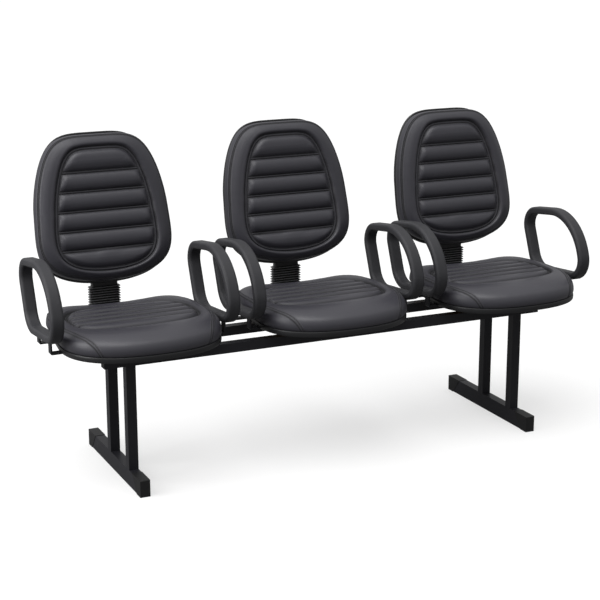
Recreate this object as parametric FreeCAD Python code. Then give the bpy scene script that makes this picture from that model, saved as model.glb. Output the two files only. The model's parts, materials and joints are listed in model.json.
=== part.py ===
import FreeCAD, Part
import math
import os

# Three-seat beam seating: padded seats and backs on two square beams, with loop arms.
# All sizes are millimetres. X runs along the beams, Y to the rear, Z up from the floor.

Vec = FreeCAD.Vector
os.makedirs("parts", exist_ok=True)

# Beams and legs
beam_end_reach = 125.0
leg_inset = 81.5
tube = 30.0
tube_wall = 1.5
front_beam_y = -137.0
rear_beam_y = 38.0
beam_underside = 375.0
foot_length = 500.0
foot_height = 50.0
plug_flange = 3.0
plug_depth = 15.0
plug_clearance = 0.2
plug_chamfer = 1.0

# Moulded caps on the foot tubes, which also carry the bench
cap_wall = 1.0
cap_end = 3.0
cap_top_length = 75.0
cap_bottom_length = 34.0
cap_clearance = 0.05
cap_corner = 2.0

# Seats along the beams
seat_pitch = 625.0
seat_names = ["left", "centre", "right"]

# Seat base: support channels, plywood board, edge trim
support_width = 30.0
support_height = 28.0
support_wall = 3.0
support_x = 75.0
support_overhang = 13.0
board_thickness = 14.0
trim_wall = 3.0
trim_lip = 10.0
trim_lip_thickness = 2.0
notch_clearance = 0.3
seat_half_width = 239.0
seat_half_length = 234.0
seat_middle_y = -71.5
seat_narrowing = 0.12
seat_powers = (7.0, 4.5, 2.3, 2.4)

# Seat cushion, each row being height above the board, side inset, front inset, rear inset
seat_cushion_sections = [
    (0.0, 4.0, 4.0, 4.0),
    (10.0, 0.0, 0.0, 0.0),
    (25.0, 0.0, 2.0, 1.0),
    (39.0, 2.0, 11.0, 4.0),
    (49.0, 8.0, 29.0, 15.0),
    (55.0, 21.0, 53.0, 35.0),
    (56.5, 34.0, 66.0, 52.0),
]
seat_panel_half_width = 186.0
seat_panel_half_length = 118.0
seat_panel_middle_y = -44.0
seat_panel_narrowing = 0.10
seat_panel_powers = (4.0, 4.0, 3.4, 3.4)
seat_seam_pitch = 41.0
seat_seam_count = 4
seat_seam_middle_y = -40.0
seat_row_rise = 4.0
seat_row_valley = 6.0

# Backrest frame: X across, second axis up the back, third axis out of its front face
back_lean = 14.1
back_y = 190.8
back_rise = 330.8
back_outline = dict(half_width=212.5, half_length=227.5, middle=9.0, narrowing=0.07,
                    powers=(1.85, 4.9, 4.5, 2.1))
back_trim_outline = dict(half_width=209.0, half_length=235.0, middle=10.5, narrowing=0.05,
                         powers=(1.65, 4.4, 4.7, 2.2))
back_panel_outline = dict(half_width=147.0, half_length=183.0, middle=4.7, narrowing=0.13,
                          powers=(1.9, 5.5, 4.1, 2.8))
back_seat_depth = -43.0

# Back cushion, each row being distance in front of the board and inset of the outline
back_cushion_sections = [
    (0.0, 6.0),
    (8.0, 1.0),
    (19.0, 0.0),
    (33.0, 3.0),
    (43.0, 10.0),
    (50.0, 22.0),
    (53.0, 37.0),
]
back_seam_pitch = 60.0
back_seam_count = 5
back_row_rise = 6.0
back_row_valley = 10.0
panel_flank = 8.0
panel_floor = 14.0
panel_gap = 1.0

# Back cover, each row being distance behind the board and inset of the trim outline
cover_sections = [(0.0, 15.0), (13.0, 18.0), (20.0, 25.0), (22.6, 33.0), (23.3, 42.0)]
cover_wall = 2.5
boss_radius = 7.0

# Back blade: a flat bar bent up behind the seat, in line with the guide on the back
blade_width = 68.0
blade_thickness = 6.0
blade_front_y = -65.0
blade_bend = 20.0
blade_upper_bend = 30.0
blade_top = -84.0
blade_corner = 12.0

# Height guide on the back, and its clamp knob
guide_bottom = -212.0
guide_flange_bottom = -176.0
guide_top = -92.0
guide_wall = 3.0
guide_flange = 17.0
guide_clearance = 0.3
guide_screw_inset = 16.0
knob_v = -150.0
stud_radius = 5.0
stud_clearance = 0.05
nut_radius = 10.0
nut_height = 8.0
knob_radius = 15.0
knob_lobe_radius = 8.0
knob_lobes = 5
knob_height = 20.0
knob_neck = 3.0
knob_neck_radius = 9.0

# Ribbed sleeve over the blade
sleeve_overlap = 5.5
sleeve_depth = 28.0
sleeve_wall = 1.5
sleeve_fold = 4.0
sleeve_folds = 9
sleeve_fold_pitch = 8.0
sleeve_rise = 17.0
sleeve_bottom_collar = 9.0
sleeve_top_collar = 23.0
sleeve_collar_room = 9.0
sleeve_collar_depth = 24.0
sleeve_corner = 6.0
sleeve_grip = 0.3
sleeve_slack = 2.0

# Loop arms, whose centre line is a four-sided figure with rounded corners, each corner being
# its Y, its height above the seat's board and its radius
arm_x = 270.0
arm_width = 40.0
arm_thickness = 24.0
arm_edge = 9.0
arm_rises = [
    (157.3, 206.0, 53.0),
    (-144.6, 248.0, 166.0),
    (-209.2, 40.1, 60.0),
    (79.3, 14.6, 68.0),
]

# Flat-bar arm brackets
bar_width = 25.0
bar_thickness = 5.0
bar_front_y = -105.0
bar_rear_y = 17.0
bar_inner_x = 185.0
bar_socket = 12.0
bar_clearance = 0.1
bar_bend = 4.5

# Fasteners
bolt_radius = 3.0
bolt_head_radius = 5.5
bolt_head_height = 4.0
bolt_clearance = 0.3
claw_flange_radius = 9.5
claw_flange = 1.2
claw_barrel_radius = 4.0
claw_barrel = 9.0
claw_clearance = 0.05
support_bolts_y = (-95.0, -5.0)
blade_bolts_y = (-48.0, -8.0, 85.0)
bar_bolt_x = 205.0

# The beams reach past the middle of the outer seats, and the legs stand in from the beams' ends
beam_length = 2 * seat_pitch + 2 * beam_end_reach
leg_x = beam_length / 2 - leg_inset
beam_top = beam_underside + tube
board_underside = beam_top + support_height
board_top = board_underside + board_thickness
foot_top = cap_wall + foot_height
claw_depth = claw_flange + claw_clearance

# The back, the sleeve and the arms stand on the seat's board
back_origin = Vec(0, back_y, board_top + back_rise)
sleeve_bottom = board_underside + sleeve_rise
arm_corners = [(y, board_top + rise, radius) for y, rise, radius in arm_rises]

# Depths in the backrest's frame, from the board to the rear of the guide
board_back_face = back_seat_depth - board_thickness
cover_back_face = board_back_face - cover_sections[-1][0]
guide_front_inside = cover_back_face - guide_wall
guide_rear_inside = guide_front_inside - blade_thickness - 2 * guide_clearance
guide_rear_face = guide_rear_inside - guide_wall
nut_face = guide_rear_face - nut_height
blade_depth = (guide_front_inside + guide_rear_inside) / 2

# The sleeve's collars are wider than the blade and its guide, and its folds than the collars
sleeve_collar_width = blade_width + 2 * sleeve_collar_room
sleeve_width = sleeve_collar_width + 2 * sleeve_overlap

# The blade's upper bend is inside the sleeve's top collar, and fixes how far back the blade stands
lean = math.radians(back_lean)
folds_low = sleeve_bottom + sleeve_bottom_collar
folds_high = folds_low + sleeve_folds * sleeve_fold_pitch
blade_bend_z = folds_high + sleeve_top_collar / 2
blade_y = back_origin.y - (blade_depth + (back_origin.z - blade_bend_z) * math.sin(lean)) / math.cos(lean)

# Short arcs in an outline, and how far a cutting shape runs past the face that it opens
arc_count = 24
past = 1.0
near = 0.01


def block(x0, x1, y0, y1, z0, z1):
    """Box between two corners."""
    return Part.makeBox(x1 - x0, y1 - y0, z1 - z0, Vec(x0, y0, z0))


def rod(radius, start, end):
    """Cylinder from one point to another."""
    run = end - start
    return Part.makeCylinder(radius, run.Length, start, run)


def hex_rod(radius, start, end):
    """Hexagonal bar from one point to another, radius taken over the corners."""
    run = end - start
    points = [Vec(radius * math.cos(math.radians(60 * k)), radius * math.sin(math.radians(60 * k)), 0)
              for k in range(7)]
    face = Part.Face(Part.makePolygon(points))
    bar = face.extrude(Vec(0, 0, run.Length))
    bar.Placement = FreeCAD.Placement(start, FreeCAD.Rotation(Vec(0, 0, 1), run))
    return bar


def square_tube(x0, x1, y0, y1, z0, z1, axis):
    """Hollow tube whose bore runs along the named axis."""
    low = [x0, y0, z0]
    high = [x1, y1, z1]
    for k in range(3):
        if k != axis:
            low[k] += tube_wall
            high[k] -= tube_wall
    bore = block(low[0], high[0], low[1], high[1], low[2], high[2])
    return block(x0, x1, y0, y1, z0, z1).cut(bore)


def egg(half_width, half_length, middle, narrowing, powers, inset=0.0, z=0.0):
    """Closed outline of short arcs on a rounded egg shape, smaller all round by the inset.

    The four powers set how square the upper half is along and across, then the lower half.
    Each point lies in its own direction from the middle, at the reach that a bisection finds.
    """
    wide = half_width - inset
    long = half_length - inset

    def at(angle):
        along, across = powers[0:2] if math.sin(angle) >= 0 else powers[2:4]
        low, high = 0.5, 1.5
        for _ in range(40):
            reach = (low + high) / 2
            if abs(reach * math.sin(angle)) ** along + abs(reach * math.cos(angle)) ** across > 1:
                high = reach
            else:
                low = reach
        up = reach * math.sin(angle)
        return Vec(wide * (1 - narrowing * up) * reach * math.cos(angle), middle + long * up, z)

    step = 2 * math.pi / arc_count
    arcs = [Part.Arc(at(k * step), at((k + 0.5) * step), at((k + 1) * step) if k < arc_count - 1 else at(0))
            for k in range(arc_count)]
    return Part.Wire([arc.toShape() for arc in arcs])


def seat_outline(side=0.0, front=0.0, rear=0.0, z=0.0):
    """Plan of the seat, drawn in by its own amount at the sides, front and rear."""
    return egg(seat_half_width - side, seat_half_length - (front + rear) / 2,
               seat_middle_y + (front - rear) / 2, seat_narrowing, seat_powers, z=z)


def prism(wire, z0, z1):
    """Straight solid under an outline, between two heights."""
    face = Part.Face(wire)
    face.translate(Vec(0, 0, z0 - wire.BoundBox.ZMin))
    return face.extrude(Vec(0, 0, z1 - z0))


def rounded_rectangle(width, depth, radius, z):
    """Outline with four quarter-round corners, centred on the axis."""
    a = width / 2
    b = depth / 2
    k = radius * (1 - math.sqrt(0.5))
    edges = []
    corners = [(1, 1), (-1, 1), (-1, -1), (1, -1)]
    ends = []
    for sx, sy in corners:
        side = Vec(sx * a, sy * (b - radius), z)
        top = Vec(sx * (a - radius), sy * b, z)
        mid = Vec(sx * (a - k), sy * (b - k), z)
        ends.append((side, mid, top) if sx * sy > 0 else (top, mid, side))
    for n in range(4):
        start, mid, end = ends[n]
        edges.append(Part.Arc(start, mid, end).toShape())
        edges.append(Part.LineSegment(end, ends[(n + 1) % 4][0]).toShape())
    return Part.Wire(edges)


def trim_ring(outline, board_low, board_high):
    """Edge trim: a wall round the board with a lip over the board's hidden face.

    The outline is given as a function of its inset.
    """
    low = board_low - trim_lip_thickness
    inner = prism(outline(trim_wall), board_low, board_high + past)
    lip_inner = prism(outline(trim_wall + trim_lip), low - past, board_low + past)
    return prism(outline(0), low, board_high).cut(inner.fuse(lip_inner)).removeSplitter()


def seat_edge_trim():
    """Trim of the seat board, its lower edge notched over the four bars and the blade."""
    trim = trim_ring(lambda inset: seat_outline(inset, inset, inset), board_underside, board_top)
    low = board_underside - trim_lip_thickness - past
    half = bar_width / 2 + notch_clearance
    for y in (bar_front_y, bar_rear_y):
        trim = trim.cut(block(-arm_x, arm_x, y - half, y + half, low, board_underside))
    half = blade_width / 2 + notch_clearance
    return trim.cut(block(-half, half, 0, blade_y, low, board_underside))


def padded_panel(outline, seams, valley, crest, floor):
    """Sewn panel: rounded rows across the outline, meeting in the seams."""
    side = -seat_half_width
    edges = []
    for start, end in zip(seams[:-1], seams[1:]):
        middle = Vec(side, (start + end) / 2, crest)
        edges.append(Part.Arc(Vec(side, start, valley), middle, Vec(side, end, valley)).toShape())
    corners = [Vec(side, seams[-1], valley), Vec(side, seams[-1], floor), Vec(side, seams[0], floor),
               Vec(side, seams[0], valley)]
    edges += [Part.LineSegment(a, b).toShape() for a, b in zip(corners[:-1], corners[1:])]
    rows = Part.Face(Part.Wire(edges)).extrude(Vec(2 * seat_half_width, 0, 0))
    return rows.common(prism(outline, floor, crest + past))


def cushion(sections, panel, panel_wide, panel_in, seams, crown, rise, valley):
    """Padded cushion: a crowned border, a sunk welt line and a panel of sewn rows."""
    body = Part.makeLoft(sections, True, False)
    flank = Part.makeLoft([panel_in(crown - panel_floor), panel_wide(crown + past)], True, True)
    body = body.cut(flank)
    rows = padded_panel(panel, seams, crown - valley, crown - valley + rise, crown - panel_floor)
    return body.fuse(rows).removeSplitter()


def to_back(shape):
    """Move a shape drawn in the backrest's own frame to its place on the chair."""
    turn = FreeCAD.Rotation(Vec(1, 0, 0), 90 - back_lean)
    shape.Placement = FreeCAD.Placement(back_origin, turn).multiply(shape.Placement)
    return shape


def back_point(x, v, depth):
    """Point of the backrest's own frame, on the chair."""
    turn = FreeCAD.Rotation(Vec(1, 0, 0), 90 - back_lean)
    return back_origin + turn.multVec(Vec(x, v, depth))


def seat_bolt_places():
    """Bolts under the seat: along the two supports, along the blade, one in each bar."""
    supports = [(side * support_x, y) for side in (-1, 1) for y in support_bolts_y]
    blade = [(0.0, y) for y in blade_bolts_y]
    bars = [(side * bar_bolt_x, y) for side in (-1, 1) for y in (bar_front_y, bar_rear_y)]
    return supports, blade, bars


def seat_board():
    """Plywood board with stepped holes for the claw nuts."""
    board = prism(seat_outline(trim_wall, trim_wall, trim_wall), board_underside, board_top)
    for places in seat_bolt_places():
        for x, y in places:
            hole = rod(claw_barrel_radius + claw_clearance, Vec(x, y, board_underside), Vec(x, y, board_top))
            seat = rod(claw_flange_radius + claw_clearance, Vec(x, y, board_top - claw_depth),
                       Vec(x, y, board_top))
            board = board.cut(hole.fuse(seat))
    return board


def claw_nuts():
    """Claw nuts let into the top of the board, their threads clear of the bolts."""
    nuts = []
    for places in seat_bolt_places():
        for x, y in places:
            top = board_top - claw_clearance
            flange = rod(claw_flange_radius, Vec(x, y, top - claw_flange), Vec(x, y, top))
            barrel = rod(claw_barrel_radius, Vec(x, y, top - claw_barrel), Vec(x, y, top))
            bore = rod(bolt_radius + claw_clearance, Vec(x, y, board_underside), Vec(x, y, board_top))
            nuts.append(flange.fuse(barrel).cut(bore))
    return nuts


def board_bolts(places, seat_face):
    """Hexagon bolts up through a plate whose underside is the seat face."""
    bolts = []
    for x, y in places:
        head = hex_rod(bolt_head_radius, Vec(x, y, seat_face - bolt_head_height), Vec(x, y, seat_face))
        shank = rod(bolt_radius, Vec(x, y, seat_face), Vec(x, y, board_top - claw_depth))
        bolts.append(head.fuse(shank))
    return bolts


def seat_supports():
    """Two folded channels across the beams, webs up, welded on and drilled for the board."""
    parts = []
    low_y = front_beam_y - tube / 2 - support_overhang
    high_y = rear_beam_y + tube / 2 + support_overhang
    for side in (-1, 1):
        x = side * support_x
        a = support_width / 2
        outer = block(x - a, x + a, low_y, high_y, beam_top, board_underside)
        inner = block(x - a + support_wall, x + a - support_wall, low_y, high_y, beam_top,
                      board_underside - support_wall)
        channel = outer.cut(inner)
        for y in support_bolts_y:
            hole = rod(bolt_radius + bolt_clearance, Vec(x, y, beam_top), Vec(x, y, board_underside))
            channel = channel.cut(hole)
        parts.append(channel)
    return parts


def seat_cushion():
    """Seat pad with a rolled front edge and a channelled panel."""
    sections = [seat_outline(side, front, rear, board_top + rise)
                for rise, side, front, rear in seat_cushion_sections]
    crown = board_top + seat_cushion_sections[-1][0]

    def panel(inset, z):
        return egg(seat_panel_half_width, seat_panel_half_length, seat_panel_middle_y,
                   seat_panel_narrowing, seat_panel_powers, inset, z)

    half = (seat_seam_count - 1) / 2
    inner = [seat_seam_middle_y + (k - half) * seat_seam_pitch for k in range(seat_seam_count)]
    seams = [seat_panel_middle_y - seat_panel_half_length] + inner
    seams.append(seat_panel_middle_y + seat_panel_half_length)
    return cushion(sections, panel(panel_gap, crown - panel_floor), lambda z: panel(-panel_flank, z),
                   lambda z: panel(0, z), seams, crown, seat_row_rise, seat_row_valley)


def back_cushion():
    """Back pad in the backrest's frame, with a wide border and six sewn rows."""
    sections = [egg(**back_outline, inset=inset, z=back_seat_depth + rise)
                for rise, inset in back_cushion_sections]
    crown = back_seat_depth + back_cushion_sections[-1][0]

    def panel(inset, z):
        return egg(**back_panel_outline, inset=inset, z=z)

    reach = back_panel_outline["half_length"]
    middle = back_panel_outline["middle"]
    half = (back_seam_count - 1) / 2
    inner = [(k - half) * back_seam_pitch for k in range(back_seam_count)]
    seams = [middle - reach] + inner + [middle + reach]
    return cushion(sections, panel(panel_gap, crown - panel_floor), lambda z: panel(-panel_flank, z),
                   lambda z: panel(0, z), seams, crown, back_row_rise, back_row_valley)


def guide_screw_places():
    """Four screws in the guide's flanges."""
    x = blade_width / 2 + guide_clearance + (guide_flange + guide_wall) / 2
    return [(side * x, v) for side in (-1, 1)
            for v in (guide_flange_bottom + guide_screw_inset, guide_top - guide_screw_inset)]


def back_board():
    """Plywood board of the back, with pilot holes for the guide's screws."""
    board = prism(egg(**back_trim_outline, inset=trim_wall), board_back_face, back_seat_depth)
    for x, v in guide_screw_places():
        board = board.cut(rod(bolt_radius + claw_clearance, Vec(x, v, board_back_face),
                              Vec(x, v, back_seat_depth - claw_flange)))
    return board


def back_edge_trim():
    """Trim of the back's board, with its lip behind."""
    return trim_ring(lambda inset: egg(**back_trim_outline, inset=inset), board_back_face, back_seat_depth)


def back_cover():
    """Thin moulded cover with a flat pad and four bosses that meet the board."""
    outer = Part.makeLoft([egg(**back_trim_outline, inset=inset, z=board_back_face - drop)
                           for drop, inset in cover_sections], True, False)
    inner = Part.makeLoft([egg(**back_trim_outline, inset=inset + cover_wall,
                               z=board_back_face - drop * (1 - cover_wall / cover_sections[-1][0]))
                           for drop, inset in cover_sections], True, False)
    shell = outer.cut(inner)
    for x, v in guide_screw_places():
        boss = rod(boss_radius, Vec(x, v, cover_back_face + cover_wall / 2), Vec(x, v, board_back_face))
        hole = rod(bolt_radius + bolt_clearance, Vec(x, v, cover_back_face - past), Vec(x, v, board_back_face))
        shell = shell.fuse(boss).cut(hole)
    return shell.removeSplitter()


def back_guide():
    """Welded steel guide: flanges on the cover, a closed channel for the blade and a nut."""
    inner = blade_width / 2 + guide_clearance
    outer = inner + guide_wall
    reach = inner + guide_flange
    guide = block(-outer, outer, guide_bottom, guide_top, guide_rear_face, cover_back_face)
    guide = guide.fuse(block(-reach, reach, guide_flange_bottom, guide_top, guide_front_inside, cover_back_face))
    guide = guide.fuse(hex_rod(nut_radius, Vec(0, knob_v, guide_rear_face), Vec(0, knob_v, nut_face)))
    guide = guide.cut(block(-inner, inner, guide_bottom - past, guide_top + past, guide_rear_inside,
                            guide_front_inside))
    guide = guide.cut(rod(stud_radius + stud_clearance, Vec(0, knob_v, nut_face - past),
                          Vec(0, knob_v, guide_rear_inside + near)))
    for x, v in guide_screw_places():
        guide = guide.cut(rod(bolt_radius + bolt_clearance, Vec(x, v, guide_front_inside - past),
                              Vec(x, v, cover_back_face + past)))
    return guide.removeSplitter()


def back_screws():
    """Four screws that hold the guide and the cover to the board."""
    screws = []
    for x, v in guide_screw_places():
        head = rod(bolt_head_radius, Vec(x, v, guide_front_inside - bolt_head_height),
                   Vec(x, v, guide_front_inside))
        shank = rod(bolt_radius, Vec(x, v, guide_front_inside), Vec(x, v, back_seat_depth - claw_flange))
        screws.append(head.fuse(shank))
    return screws


def height_knob():
    """Lobed clamp knob with its stud, standing just clear of the blade."""
    neck_start = nut_face - guide_clearance
    body_start = neck_start - knob_neck
    body_end = body_start - knob_height
    knob = rod(knob_radius, Vec(0, knob_v, body_end), Vec(0, knob_v, body_start))
    for k in range(knob_lobes):
        angle = 2 * math.pi * (k + 0.25) / knob_lobes
        x = knob_radius * math.cos(angle)
        v = knob_v + knob_radius * math.sin(angle)
        knob = knob.fuse(rod(knob_lobe_radius, Vec(x, v, body_end), Vec(x, v, body_start)))
    knob = knob.fuse(rod(knob_neck_radius, Vec(0, knob_v, body_start), Vec(0, knob_v, neck_start)))
    knob = knob.fuse(rod(stud_radius, Vec(0, knob_v, body_start), Vec(0, knob_v, guide_rear_inside)))
    return knob.removeSplitter()


def back_blade():
    """Flat bar: level under the board, upright behind the seat, then leaning with the back."""
    level = board_underside - blade_thickness / 2
    top = back_point(0, blade_top, blade_depth)
    low = blade_y - blade_bend
    soft = blade_upper_bend * math.tan(lean / 2)
    start = Vec(0, blade_front_y, level)
    first = Vec(0, low, level)
    turn = Vec(0, low + blade_bend * math.sin(math.radians(45)),
               level + blade_bend * (1 - math.cos(math.radians(45))))
    second = Vec(0, blade_y, level + blade_bend)
    third = Vec(0, blade_y, blade_bend_z - soft)
    half = lean / 2
    bow = Vec(0, blade_y + blade_upper_bend * (1 - math.cos(half)),
              blade_bend_z - soft + blade_upper_bend * math.sin(half))
    fourth = Vec(0, blade_y + soft * math.sin(lean), blade_bend_z + soft * math.cos(lean))
    path = Part.Wire([
        Part.LineSegment(start, first).toShape(),
        Part.Arc(first, turn, second).toShape(),
        Part.LineSegment(second, third).toShape(),
        Part.Arc(third, bow, fourth).toShape(),
        Part.LineSegment(fourth, top).toShape(),
    ])
    a = blade_width / 2
    b = blade_thickness / 2
    section = Part.makePolygon([Vec(-a, blade_front_y, level - b), Vec(a, blade_front_y, level - b),
                                Vec(a, blade_front_y, level + b), Vec(-a, blade_front_y, level + b),
                                Vec(-a, blade_front_y, level - b)])
    blade = path.makePipeShell([section], True, False)
    for y in blade_bolts_y:
        blade = blade.cut(rod(bolt_radius + bolt_clearance, Vec(0, y, level - blade_thickness),
                              Vec(0, y, level + blade_thickness)))
    ends = [edge for edge in blade.Edges
            if edge.Length < blade_thickness + near and (
                abs(edge.CenterOfMass.y - blade_front_y) < near
                or edge.CenterOfMass.distanceToPoint(top) < blade_width / 2 + near)]
    return blade.makeFillet(blade_corner, ends)


def blade_sleeve():
    """Ribbed sleeve with a gripping collar at the bottom and a plain collar at the top."""
    narrow_width = sleeve_width - 2 * sleeve_fold
    narrow_depth = sleeve_depth - 2 * sleeve_fold
    wires = []
    for k in range(sleeve_folds):
        z = folds_low + k * sleeve_fold_pitch
        wires.append(rounded_rectangle(narrow_width, narrow_depth, sleeve_corner, z))
        wires.append(rounded_rectangle(sleeve_width, sleeve_depth, sleeve_corner, z + sleeve_fold_pitch / 2))
    wires.append(rounded_rectangle(narrow_width, narrow_depth, sleeve_corner, folds_high))
    ribs = Part.makeLoft(wires, True, True)
    bore_width = sleeve_collar_width - 2 * sleeve_wall
    bore_depth = narrow_depth - 2 * sleeve_wall
    bore = prism(rounded_rectangle(bore_width, bore_depth, sleeve_corner - sleeve_wall, folds_low),
                 folds_low - past, folds_high + past)
    bottom = prism(rounded_rectangle(sleeve_collar_width, sleeve_collar_depth, sleeve_corner, sleeve_bottom),
                   sleeve_bottom, folds_low)
    a = blade_width / 2 + sleeve_grip
    b = blade_thickness / 2 + sleeve_grip
    grip = block(-a, a, -b, b, sleeve_bottom - past, folds_low + past)
    a = blade_width / 2 + sleeve_slack
    b = blade_thickness / 2 + sleeve_slack
    throat = block(-a, a, -b, b, folds_high - past, folds_high + sleeve_wall + past)
    top = prism(rounded_rectangle(sleeve_collar_width, sleeve_collar_depth, sleeve_corner, folds_high),
                folds_high, folds_high + sleeve_top_collar)
    mouth = prism(rounded_rectangle(sleeve_collar_width - 2 * sleeve_wall,
                                    sleeve_collar_depth - 2 * sleeve_wall,
                                    sleeve_corner - sleeve_wall, folds_high),
                  folds_high + sleeve_wall, folds_high + sleeve_top_collar + past)
    sleeve = ribs.cut(bore).fuse(bottom.cut(grip)).fuse(top.cut(mouth).cut(throat))
    sleeve = sleeve.removeSplitter()
    sleeve.translate(Vec(0, blade_y, 0))
    return sleeve


def arm_section():
    """Rounded rectangle across X and Z, centred on the origin."""
    wire = rounded_rectangle(arm_width, arm_thickness, arm_edge, 0)
    wire.rotate(Vec(0, 0, 0), Vec(1, 0, 0), 90)
    return wire


def loop_arm(side):
    """One-piece loop arm: straight and turned lengths of one section, joined end to end."""
    corners = []
    count = len(arm_corners)
    for k in range(count):
        y, z, radius = arm_corners[k]
        here = Vec(0, y, z)
        before = Vec(0, arm_corners[k - 1][0], arm_corners[k - 1][1]) - here
        after = Vec(0, arm_corners[(k + 1) % count][0], arm_corners[(k + 1) % count][1]) - here
        before.normalize()
        after.normalize()
        turn = math.pi - math.acos(before.dot(after))
        reach = radius * math.tan(turn / 2)
        corners.append((here + before * reach, here + after * reach, turn, radius, before, after))
    pieces = []
    base = Part.Face(arm_section())
    for k in range(count):
        start, end, turn, radius, before, after = corners[k]
        heading = before * -1
        face = base.copy()
        face.Placement = FreeCAD.Placement(start, FreeCAD.Rotation(Vec(0, 1, 0), heading))
        inward = (before + after)
        inward.normalize()
        centre = Vec(0, arm_corners[k][0], arm_corners[k][1]) + inward * (radius / math.cos(turn / 2))
        axis = heading.cross(after)
        axis.normalize()
        pieces.append(face.revolve(centre, axis, math.degrees(turn)))
        following = corners[(k + 1) % count][0]
        if following.distanceToPoint(end) > near:
            face = base.copy()
            face.Placement = FreeCAD.Placement(end, FreeCAD.Rotation(Vec(0, 1, 0), after))
            pieces.append(face.extrude(following - end))
    arm = pieces[0].multiFuse(pieces[1:]).removeSplitter()
    arm.translate(Vec(side * arm_x, 0, 0))
    for y in (bar_front_y, bar_rear_y):
        arm = arm.cut(bar_socket_block(side, y, bar_clearance))
    return arm


def arm_underside(y):
    """Height of the loop's underside at one place along its bottom run."""
    y0, z0 = arm_corners[2][0:2]
    y1, z1 = arm_corners[3][0:2]
    slope = (z1 - z0) / (y1 - y0)
    return z0 + (y - y0) * slope - arm_thickness / 2 * math.sqrt(1 + slope * slope)


def bar_socket_block(side, y, clearance):
    """Upright end of a bar, or with a clearance the socket for it."""
    x = side * arm_x
    a = bar_thickness / 2 + clearance
    b = bar_width / 2 + clearance
    top = arm_underside(y) + bar_socket + clearance
    return block(x - a, x + a, y - b, y + b, board_underside - bar_thickness, top)


def arm_brackets():
    """Two bent flat bars for each arm, from the arm's underside to the board."""
    bars = []
    for side in (-1, 1):
        for y in (bar_front_y, bar_rear_y):
            low = board_underside - bar_thickness
            ends = sorted([side * bar_inner_x, side * arm_x])
            foot = block(ends[0], ends[1], y - bar_width / 2, y + bar_width / 2, low, board_underside)
            bar = bar_socket_block(side, y, 0).fuse(foot).removeSplitter()
            outside = side * (arm_x + bar_thickness / 2)
            edge = [e for e in bar.Edges if abs(e.CenterOfMass.x - outside) < near
                    and abs(e.CenterOfMass.z - low) < near and abs(e.Length - bar_width) < near]
            bar = bar.makeFillet(bar_bend, edge)
            x = side * bar_bolt_x
            bars.append(bar.cut(rod(bolt_radius + bolt_clearance, Vec(x, y, low), Vec(x, y, board_underside))))
    return bars


def beam(y):
    """Square beam between its end plugs."""
    half = beam_length / 2 - plug_flange
    return square_tube(-half, half, y - tube / 2, y + tube / 2, beam_underside, beam_top, 0)


def beam_end_plugs():
    """Moulded plugs pressed into the beam ends."""
    plugs = []
    a = tube / 2
    b = a - tube_wall - plug_clearance
    middle = beam_underside + a
    for side in (-1, 1):
        for y in (front_beam_y, rear_beam_y):
            ends = sorted([side * beam_length / 2, side * (beam_length / 2 - plug_flange)])
            flange = block(ends[0], ends[1], y - a, y + a, middle - a, middle + a)
            outer = [e for e in flange.Edges if abs(e.CenterOfMass.x - side * beam_length / 2) < near]
            flange = flange.makeChamfer(plug_chamfer, outer)
            ends = sorted([side * (beam_length / 2 - plug_flange),
                           side * (beam_length / 2 - plug_flange - plug_depth)])
            plugs.append(flange.fuse(block(ends[0], ends[1], y - b, y + b, middle - b, middle + b)))
    return plugs


def upright(x, y):
    """Square upright welded between the foot and a beam."""
    a = tube / 2
    return square_tube(x - a, x + a, y - a, y + a, foot_top, beam_underside, 2)


def foot_tube(x):
    """Flat-sided foot tube lying front to back."""
    a = tube / 2
    return square_tube(x - a, x + a, -foot_length / 2, foot_length / 2, cap_wall, foot_top, 1)


def foot_caps():
    """Caps over the four foot ends, with a slanted edge on each side."""
    caps = []
    half = tube / 2 + cap_wall
    for x in (-leg_x, leg_x):
        for end in (-1, 1):
            tip = end * (foot_length / 2 + cap_end)
            top = foot_top + cap_wall
            profile = [Vec(0, tip, 0), Vec(0, tip, top), Vec(0, tip - end * cap_top_length, top),
                       Vec(0, tip - end * cap_bottom_length, 0), Vec(0, tip, 0)]
            cap = Part.Face(Part.makePolygon(profile)).extrude(Vec(2 * half, 0, 0))
            cap.translate(Vec(x - half, 0, 0))
            outer = [e for e in cap.Edges if abs(e.CenterOfMass.y - tip) < near and e.CenterOfMass.z > near]
            cap = cap.makeFillet(cap_corner, outer)
            a = tube / 2 + cap_clearance
            room = sorted([end * foot_length / 2, 0.0])
            tube_space = block(x - a, x + a, room[0], room[1], cap_wall, foot_top + cap_clearance)
            caps.append(cap.cut(tube_space))
    return caps


nodes = {
    "front_beam": [beam(front_beam_y)],
    "rear_beam": [beam(rear_beam_y)],
    "beam_end_plugs": beam_end_plugs(),
    "foot_caps": foot_caps(),
}
for side_name, side_x in (("left", -leg_x), ("right", leg_x)):
    nodes[side_name + "_foot_tube"] = [foot_tube(side_x)]
    nodes[side_name + "_front_upright"] = [upright(side_x, front_beam_y)]
    nodes[side_name + "_rear_upright"] = [upright(side_x, rear_beam_y)]

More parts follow.
